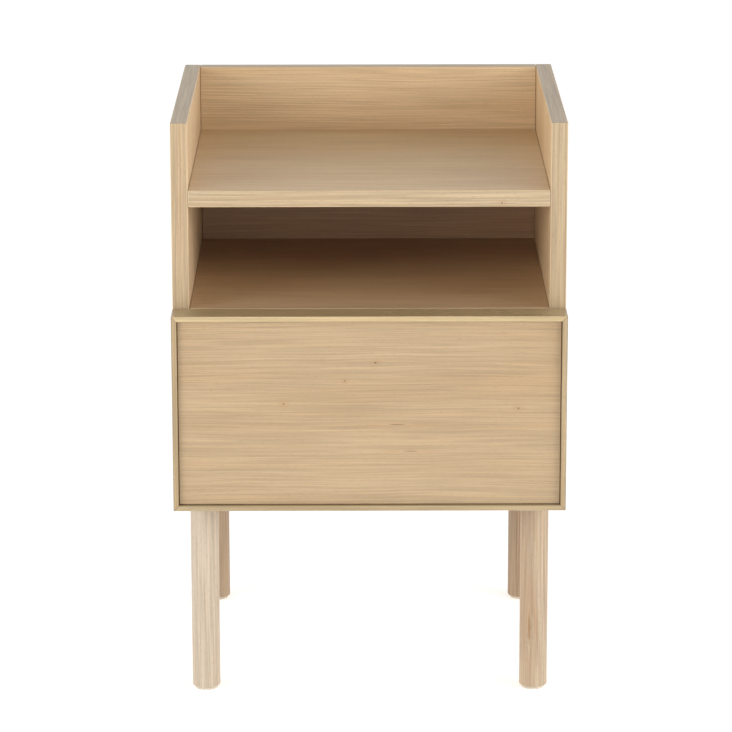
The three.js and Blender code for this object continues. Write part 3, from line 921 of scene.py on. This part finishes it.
# Axis across the thin side, its outward way, place in the log, and oak. The side and bottom
# strips take the oak with painted shade.
STRIPS = {
    "front_strip_top": (2, 1, (9.1, 0.21, 0.12), oak_strip),
    "front_strip_bottom": (2, -1, (9.9, 0.26, 0.15), oak_shaded_strip),
    "front_strip_left": (0, -1, (10.7, 0.23, 0.09), oak_shaded_strip),
    "front_strip_right": (0, 1, (11.5, 0.28, 0.11), oak_shaded_strip),
}
for node, (side_axis, outward, log_place, oak) in STRIPS.items():
    strip = make_strip(node, side_axis, outward, log_place, oak)
    print(strip.name, [round(size / MM, 1) for size in strip.dimensions])

# %% [markdown]
# ## A small lathe
#
# Legs, felt discs and screw heads are all round. A cylinder primitive has sharp rims, so each of
# them is a profile of radius and height points, with rounded rims, that is turned round its axis.

# %% Lathe
TURN_STEPS = 128
ROUND_STEPS = 6


def rounded_profile(radius, low, high, low_round, high_round):
    """(radius, height) points of a turned round with two rounded rims, from its foot up."""
    points = []
    for step in range(ROUND_STEPS + 1):
        angle = math.pi / 2 * step / ROUND_STEPS
        points.append((radius - low_round + low_round * math.sin(angle),
                       low + low_round - low_round * math.cos(angle)))
    for step in range(ROUND_STEPS + 1):
        angle = math.pi / 2 * step / ROUND_STEPS
        points.append((radius - high_round + high_round * math.cos(angle),
                       high - high_round + high_round * math.sin(angle)))
    return points


def turn(profile, centre_x, centre_y, steps=TURN_STEPS):
    """A closed round solid: the profile turned about an upright axis."""
    solid = bmesh.new()
    rings = []
    for radius, height in profile:
        rings.append([
            solid.verts.new((centre_x + radius * math.cos(2 * math.pi * k / steps),
                             centre_y + radius * math.sin(2 * math.pi * k / steps), height))
            for k in range(steps)
        ])
    for lower, upper in zip(rings, rings[1:]):
        for k in range(steps):
            after = (k + 1) % steps
            solid.faces.new((lower[k], lower[after], upper[after], upper[k]))
    solid.faces.new(list(reversed(rings[0])))
    solid.faces.new(rings[-1])
    return solid


print("lathe ready, with", TURN_STEPS, "steps round a leg")

# %% [markdown]
# ## Turned legs
#
# Each leg is a round of solid oak, screwed into the bottom board, with a softly rounded foot. Its
# grain coordinates are the true place of every point inside the log, so the rings run through the
# wood: they draw arches where they meet the round side flat on, and fine straight lines a quarter
# turn further. Each leg is turned by its own angle, and the front right one has a dark streak. The
# rear legs are darker as painted shade, and the front right one is darker than the front left one,
# partly by its own tone and partly as painted shade.

# %% Turned legs
PALE_LEG_TONES = (linear(183, 171, 153), linear(176, 160, 139))
# The front right leg's tones are darker than the front left's, partly its own tone and partly painted
# shade.
WARM_LEG_TONES = (linear(174, 157, 133), linear(163, 141, 115))
# Painted shade: the rear legs' tones are darker than the front legs'.
SHADED_LEG_TONES = (linear(156, 137, 113), linear(146, 124, 98))
LEG_LATE = linear(160, 124, 92)
# The rear legs' darker late wood belongs to the same painted shade.
SHADED_LEG_LATE = linear(132, 96, 70)
STREAK_COLOUR = linear(142, 106, 66)
STREAK_PLACE = (13.363, -0.0017, 0.0765)  # in the log of the front right leg
STREAK_WIDTH = 2.4 * MM
STREAK_SQUEEZE = (0.11, 1.0, 0.3)
LEG_ROUGHNESS = 0.45
FOOT_ROUND = 1.6 * MM
TOP_ROUND = 0.4 * MM
pale_leg = make_wood("pale oak leg", PALE_LEG_TONES, LEG_LATE, OAK_PORE, ring=2.4, waver=5.0,
                     lean=-0.03, roughness=LEG_ROUGHNESS, line_depth=0.65, fibre_depth=0.2)
warm_leg = make_wood("warm oak leg", WARM_LEG_TONES, LEG_LATE, OAK_PORE, ring=3.4, waver=3.0,
                     lean=-0.038, roughness=LEG_ROUGHNESS, line_depth=1.0, fibre_depth=0.22,
                     knots=[(STREAK_PLACE, STREAK_WIDTH, STREAK_SQUEEZE)],
                     knot_colour=STREAK_COLOUR)
rear_leg_shaded = make_wood("rear oak leg with painted shade", SHADED_LEG_TONES, SHADED_LEG_LATE, OAK_PORE, ring=2.8, waver=6.0,
                     lean=0.02, roughness=LEG_ROUGHNESS, line_depth=0.95, fibre_depth=0.26)

# Degrees that the leg is turned by, its place in the log along and from the middle, and its oak.
LEGS = {
    "front_left": (195.0, (12.2, 0.045), pale_leg),
    "front_right": (257.0, (13.4, 0.062), warm_leg),
    # The rear legs take the oak with painted shade.
    "rear_left": (20.0, (14.6, 0.055), rear_leg_shaded),
    "rear_right": (130.0, (15.8, 0.050), rear_leg_shaded),
}
for corner, (turned_by, (along, from_middle), leg_oak) in LEGS.items():
    node = "leg_" + corner
    low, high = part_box(node)
    middle = (low + high) / 2
    profile = rounded_profile((high.x - low.x) / 2, low.z, high.z, FOOT_ROUND, TOP_ROUND)
    solid = turn(profile, middle.x, middle.y)
    near_edge = solid.verts.layers.float.new("near_edge")
    for vert in solid.verts:
        vert[near_edge] = 1.0 if vert.co.z < low.z + FOOT_ROUND else 0.0
    leg = finish_piece("oak_" + node, solid, "case", [node], [leg_oak])
    angle = math.radians(turned_by)
    to_log = Vector((math.cos(angle), math.sin(angle), 0.0))
    sideways = Vector((-to_log.y, to_log.x, 0.0))

    def find_place(face, point):
        spot = point - middle
        return Vector((along + spot.z, spot.dot(sideways), from_middle + spot.dot(to_log)))

    write_place(leg.data, find_place)
    print(leg.name, round(leg.dimensions.z / MM, 1), "mm tall")

# %% [markdown]
# ## Felt glides
#
# A felt disc is punched from a pressed sheet of wool. Its surface is matt and mottled, with single
# paler hairs, and light glances off it softly, so the shader gets sheen and a coarse bump.

# %% Felt material
FUZZ_SCALE = (2600.0, 2600.0, 2600.0)
CLUMP_SCALE = (420.0, 420.0, 420.0)
FELT_PALE = linear(206, 196, 180)
FELT_DARK = linear(182, 171, 154)
FELT_HAIR = linear(224, 217, 204)
HAIR_RANGE = (0.5, 0.8)
FELT_ROUGHNESS = (0.85, 1.0)
FELT_SHEEN = 0.4
FELT_SHEEN_ROUGHNESS = 0.5
FELT_BUMP = (0.8, 0.2 * MM)


def make_felt():
    material, w, shader = start_material("pressed felt")
    place = w.add("ShaderNodeTexCoord").outputs["Object"]
    fuzz = w.noise(place, FUZZ_SCALE, detail=3.0, roughness=0.7)
    clumps = w.noise(place, CLUMP_SCALE, detail=2.0)
    colour = w.mix(w.ease(clumps, *SHARP_RANGE), FELT_PALE, FELT_DARK)
    colour = w.mix(w.ease(fuzz, *HAIR_RANGE), colour, FELT_HAIR)
    w.feed(shader.inputs["Base Color"], colour)
    w.feed(shader.inputs["Roughness"], w.ease(fuzz, *WIDE_RANGE, *FELT_ROUGHNESS))
    shader.inputs["Sheen Weight"].default_value = FELT_SHEEN
    shader.inputs["Sheen Roughness"].default_value = FELT_SHEEN_ROUGHNESS
    add_bump(w, shader, fuzz, *FELT_BUMP)
    return material


felt = make_felt()
print("felt:", len(felt.node_tree.nodes), "nodes")

# %% [markdown]
# ## The felt discs themselves
#
# Each disc is turned on the lathe with a wide rounding at its top and a smaller one at its foot.
# Then every point of its rim moves inwards by up to a quarter of a millimetre, in two waves round
# the disc, so that its outline isn't a perfect circle.

# %% Felt discs
FELT_TOP_ROUND = 0.9 * MM
FELT_FOOT_ROUND = 0.54 * MM
FELT_STEPS = 72
FELT_UNEVEN = 0.25 * MM
WIDE_WAVES = 7
FINE_WAVES = 17
CORNER_PHASE = 90  # radians per metre, so that left and right discs differ
MEAN_DENT = 0.5
WIDE_DENT = 0.3
FINE_DENT = 0.2
for corner in LEGS:
    node = "felt_glide_" + corner
    low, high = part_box(node)
    middle = (low + high) / 2
    radius = (high.x - low.x) / 2
    profile = rounded_profile(radius, low.z, high.z, FELT_FOOT_ROUND, FELT_TOP_ROUND)
    solid = turn(profile, middle.x, middle.y, FELT_STEPS)
    for vert in solid.verts:
        out = Vector((vert.co.x - middle.x, vert.co.y - middle.y, 0.0))
        turned = math.atan2(out.y, out.x)
        wide = WIDE_DENT * math.sin(WIDE_WAVES * turned + middle.x * CORNER_PHASE)
        fine = FINE_DENT * math.sin(FINE_WAVES * turned)
        vert.co -= out.normalized() * FELT_UNEVEN * (MEAN_DENT + wide + fine)
    disc = finish_piece("felt_" + corner, solid, "case", [node], [felt])
    print(disc.name, round(disc.dimensions.z / MM, 1), "mm thick")

# %% [markdown]
# ## Zinc coated steel
#
# The runners are rolled from galvanised steel sheet: a bluish grey zinc coat with faint cloudy
# crystals and long drawing marks. Screws, bolts and inserts have a brighter zinc plating with fine
# marks from the thread roller. Both are the same effect at different scales, so it is one group.

# %% Group: zinc
DRAWN_SCALE = (2500.0, 12.0, 2500.0)  # the sheet is drawn front to back
SMUDGE_SCALE = (30.0, 18.0, 30.0)
CRYSTAL_SHARE = 0.35
SMUDGE_SHARE = 0.65
ZINC_ROUGHNESS = 0.34
SMUDGE_DULLING = 0.16
ZINC_BUMP = (0.2, 0.05 * MM)


def build_zinc_coat():
    inputs = {"Place": (0.0, 0.0, 0.0), "Crystal": 300.0, "Marks": 0.3}
    w, given, out = new_group("zinc coat", inputs, ("Cloud", "Roughness", "Height"))
    crystals = w.add("ShaderNodeTexVoronoi")
    w.feed(crystals.inputs["Vector"], given["Place"])
    w.feed(crystals.inputs["Scale"], given["Crystal"])
    tint = w.add("ShaderNodeSeparateColor")
    w.feed(tint.inputs[0], crystals.outputs["Color"])
    drawn = w.noise(given["Place"], DRAWN_SCALE, detail=2.0)
    smudge = w.noise(given["Place"], SMUDGE_SCALE, detail=3.0)
    cloud = w.maths("MULTIPLY", smudge, SMUDGE_SHARE)
    w.feed(out["Cloud"], w.maths("MULTIPLY_ADD", tint.outputs[0], CRYSTAL_SHARE, cloud))
    marks = w.maths("SUBTRACT", drawn, 0.5)
    rough = w.maths("MULTIPLY_ADD", marks, given["Marks"], ZINC_ROUGHNESS)
    w.feed(out["Roughness"], w.maths("MULTIPLY_ADD", smudge, SMUDGE_DULLING, rough, clamp=True))
    w.feed(out["Height"], w.maths("MULTIPLY", drawn, given["Marks"]))


def make_zinc(name, dark, bright, crystal, marks):
    material, w, shader = start_material(name)
    place = w.add("ShaderNodeTexCoord").outputs["Object"]
    coat = place_group(w, "zinc coat", Place=place, Crystal=crystal, Marks=marks)
    w.feed(shader.inputs["Base Color"], w.mix(w.ease(coat["Cloud"], *SOFT_RANGE), dark, bright))
    w.feed(shader.inputs["Roughness"], coat["Roughness"])
    shader.inputs["Metallic"].default_value = 1.0
    add_bump(w, shader, coat["Height"], *ZINC_BUMP)
    return material


build_zinc_coat()
zinc_sheet = make_zinc(
    "galvanised sheet", linear(156, 160, 164), linear(196, 199, 201), crystal=260.0, marks=0.25
)
zinc_plate = make_zinc(
    "bright zinc", linear(190, 190, 186), linear(222, 221, 214), crystal=900.0, marks=0.12
)
print("zinc coat:", len(bpy.data.node_groups["zinc coat"].nodes), "nodes")

# %% [markdown]
# ## Rubber bumpers
#
# Two small clear-grey bumpers sit behind the drawer front and stop it softly. Cast rubber has no
# grain, only a faint mottle that also changes its gloss, so it needs no shared group.

# %% Rubber
MOTTLE_SCALE = (500.0, 500.0, 500.0)
RUBBER_DARK = linear(186, 186, 182)
RUBBER_PALE = linear(206, 206, 202)
RUBBER_ROUGHNESS = (0.4, 0.55)
RUBBER_BUMP = (0.15, 0.05 * MM)


def make_rubber():
    material, w, shader = start_material("soft rubber")
    place = w.add("ShaderNodeTexCoord").outputs["Object"]
    mottle = w.noise(place, MOTTLE_SCALE, detail=2.0)
    w.feed(shader.inputs["Base Color"], w.mix(mottle, RUBBER_DARK, RUBBER_PALE))
    w.feed(shader.inputs["Roughness"], w.ease(mottle, *WIDE_RANGE, *RUBBER_ROUGHNESS))
    add_bump(w, shader, mottle, *RUBBER_BUMP)
    return material


rubber = make_rubber()
print("rubber:", len(rubber.node_tree.nodes), "nodes")

# %% [markdown]
# ## Pieces that keep their CAD shape
#
# The drawer box, the runners' rolled sections and the small fastenings already have their true
# shape, bores and grooves included, so they stay as they are. Modifiers make them finer without
# touching their meshes: Weld joins the split corners, Bevel eases every sharp edge by the little
# that paper or a rolling mill leaves, and a one-node geometry group turns on soft shading.

# %% Finish the CAD pieces
CAD_EDGE_ANGLE = math.radians(40)  # edges sharper than this are eased
CAD_EDGE_STEPS = 2
WELD_REACH = 0.001 * MM


def build_soft_shading():
    tree = bpy.data.node_groups.new("soft shading", "GeometryNodeTree")
    for way in ("INPUT", "OUTPUT"):
        tree.interface.new_socket("Mesh", in_out=way, socket_type="NodeSocketGeometry")
    smooth = tree.nodes.new("GeometryNodeSetShadeSmooth")
    tree.links.new(tree.nodes.new("NodeGroupInput").outputs[0], smooth.inputs["Geometry"])
    tree.links.new(smooth.outputs[0], tree.nodes.new("NodeGroupOutput").inputs[0])
    return tree


soft_shading = build_soft_shading()


def ease_edges(piece, width):
    weld = piece.modifiers.new("weld", "WELD")
    weld.merge_threshold = WELD_REACH
    bevel = piece.modifiers.new("eased edges", "BEVEL")
    bevel.width = width
    bevel.segments = CAD_EDGE_STEPS
    bevel.limit_method = "ANGLE"
    bevel.angle_limit = CAD_EDGE_ANGLE
    piece.modifiers.new("soft shading", "NODES").node_group = soft_shading
    piece.modifiers.new("even light", "WEIGHTED_NORMAL")


# Material and width of the eased edges, by the start of the node's name.
CAD_FINISHES = {
    "drawer_side": (birch_side, 0.8 * MM),
    "drawer_box": (birch_end, 0.8 * MM),
    "drawer_bottom": (birch_ply, 0.3 * MM),
    "dowel": (beech_dowel, 0.4 * MM),
    "runner": (zinc_sheet, 0.4 * MM),
    "hanger_bolt": (zinc_plate, 0.15 * MM),
    "threaded_insert": (zinc_plate, 0.15 * MM),
    "front_screw": (zinc_plate, 0.2 * MM),
    "bumper": (rubber, 0.35 * MM),
}
finished = 0
for node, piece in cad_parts.items():
    for start, (finish, width) in CAD_FINISHES.items():
        if node.startswith(start):
            ease_edges(piece, width)
            for material_slot in piece.material_slots:
                material_slot.material = finish
            finished += 1
print("CAD pieces finished:", finished)

# %% [markdown]
# ## Ball cages in the runners
#
# A ball runner slides on rows of steel balls, held apart by a thin sheet cage. They show when the
# drawer is open. Each cage here is two flat strips, one along the top of the runner and one along
# its bottom, each with a row of balls. It rides on the middle member, which moves half as far as
# the drawer.

# %% Ball cages
BALL = 2.1 * MM
BALL_STEP = 13.0 * MM
CAGE_SHEET = 0.4 * MM
CAGE_WIDTH = 3.36 * MM
CAGE_ROUND = 0.12 * MM
CAGE_STEPS = 2
CAGE_END_GAP = 4 * MM
CAGE_MIDDLE_GAP = 6 * MM
RUNNER_SHEET = 1.2 * MM


def add_ball(solid, centre, diameter):
    made = bmesh.ops.create_icosphere(solid, subdivisions=2, radius=diameter / 2)
    for vert in made["verts"]:
        vert.co += centre


def make_cage(name, body, outer_node, inner_node, start, end):
    """A strip between two nested members, with balls in the gaps above and below it."""
    outer_low, outer_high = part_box(outer_node)
    inner_low, inner_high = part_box(inner_node)
    gap_low = max(outer_low.x, inner_low.x)
    gap_high = min(outer_high.x, inner_high.x)
    across = (gap_low + gap_high) / 2
    upper = (outer_high.z - RUNNER_SHEET + inner_high.z) / 2
    lower = (outer_low.z + RUNNER_SHEET + inner_low.z) / 2
    solid = bmesh.new()
    for height in (lower, upper):
        count = int((end - start) / BALL_STEP)
        for k in range(count):
            spot = Vector((across, start + BALL_STEP * (k + 0.5), height))
            add_ball(solid, spot, BALL)
        strip = bmesh.new()
        bmesh.ops.create_cube(strip, size=1.0)
        size = Vector((CAGE_WIDTH, end - start, CAGE_SHEET))
        for vert in strip.verts:
            vert.co = Vector((across, (start + end) / 2, height)) + Vector(
                c * s for c, s in zip(vert.co, size)
            )
        ease_corners(strip, strip.edges[:], CAGE_ROUND, CAGE_STEPS)
        joined = bpy.data.meshes.new("strip")
        strip.to_mesh(joined)
        strip.free()
        solid.from_mesh(joined)
        bpy.data.meshes.remove(joined)
    return finish_piece(name, solid, body, [], [zinc_plate])


for side in ("left", "right"):
    middle_body = "runner_middle_" + side
    low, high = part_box(middle_body)
    half = (high.y - low.y) / 2
    outer_cage = make_cage("cage_outer_" + side, middle_body, "runner_outer_" + side, middle_body,
                           high.y - half + CAGE_MIDDLE_GAP, high.y - CAGE_END_GAP)
    inner_cage = make_cage("cage_inner_" + side, middle_body, middle_body, "runner_inner_" + side,
                           low.y + CAGE_END_GAP, low.y + half - CAGE_MIDDLE_GAP)
    print(outer_cage.name, inner_cage.name, round(outer_cage.dimensions.y / MM), "mm long")

# %% [markdown]
# ## Screws in the runners
#
# Low round screws hold each runner's inner member to the drawer box. Only their heads show, so each
# is a turned head that rides on the drawer. Two crossed bars, thin as paint, stand for its recess.

# %% Runner screws
SCREW_HEAD = 3.2 * MM
SCREW_RISE = 0.9 * MM
SCREW_FOOT_ROUND = 0.05 * MM
SCREW_TOP_ROUND = 0.5 * MM
SCREW_STEPS = 32
CROSS_BAR = Vector((3.4 * MM, 0.5 * MM, 0.04 * MM))  # long, wide and high
SCREW_PLACES = (-0.42, -0.1, 0.3)  # from the middle of the member, as shares of its length


def make_runner_screw(name, body, base, facing):
    """A low round head with a cross on top. base is the middle of its foot, facing is -1 or 1."""
    profile = rounded_profile(SCREW_HEAD, 0.0, SCREW_RISE, SCREW_FOOT_ROUND, SCREW_TOP_ROUND)
    solid = turn(profile, 0.0, 0.0, SCREW_STEPS)
    for turned in (0.0, math.pi / 2):
        cross_bar = bmesh.ops.create_cube(solid, size=1.0)
        for vert in cross_bar["verts"]:
            vert.co = Matrix.Rotation(turned, 3, "Z") @ (vert.co * CROSS_BAR)
            vert.co.z += SCREW_RISE
    lay = Matrix.Rotation(math.pi / 2 * facing, 4, "Y")
    bmesh.ops.transform(solid, matrix=Matrix.Translation(base) @ lay, verts=solid.verts[:])
    return finish_piece(name, solid, body, [], [zinc_plate])


screw_count = 0
for side, out in (("left", -1), ("right", 1)):
    low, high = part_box("runner_inner_" + side)
    web = (low.x if out > 0 else high.x) + out * RUNNER_SHEET
    for k, share in enumerate(SCREW_PLACES):
        base = Vector((web, (low.y + high.y) / 2 + share * (high.y - low.y), (low.z + high.z) / 2))
        make_runner_screw(f"runner_screw_{side}_{k + 1}", "drawer", base, out)
        screw_count += 1
print("runner screws:", screw_count)
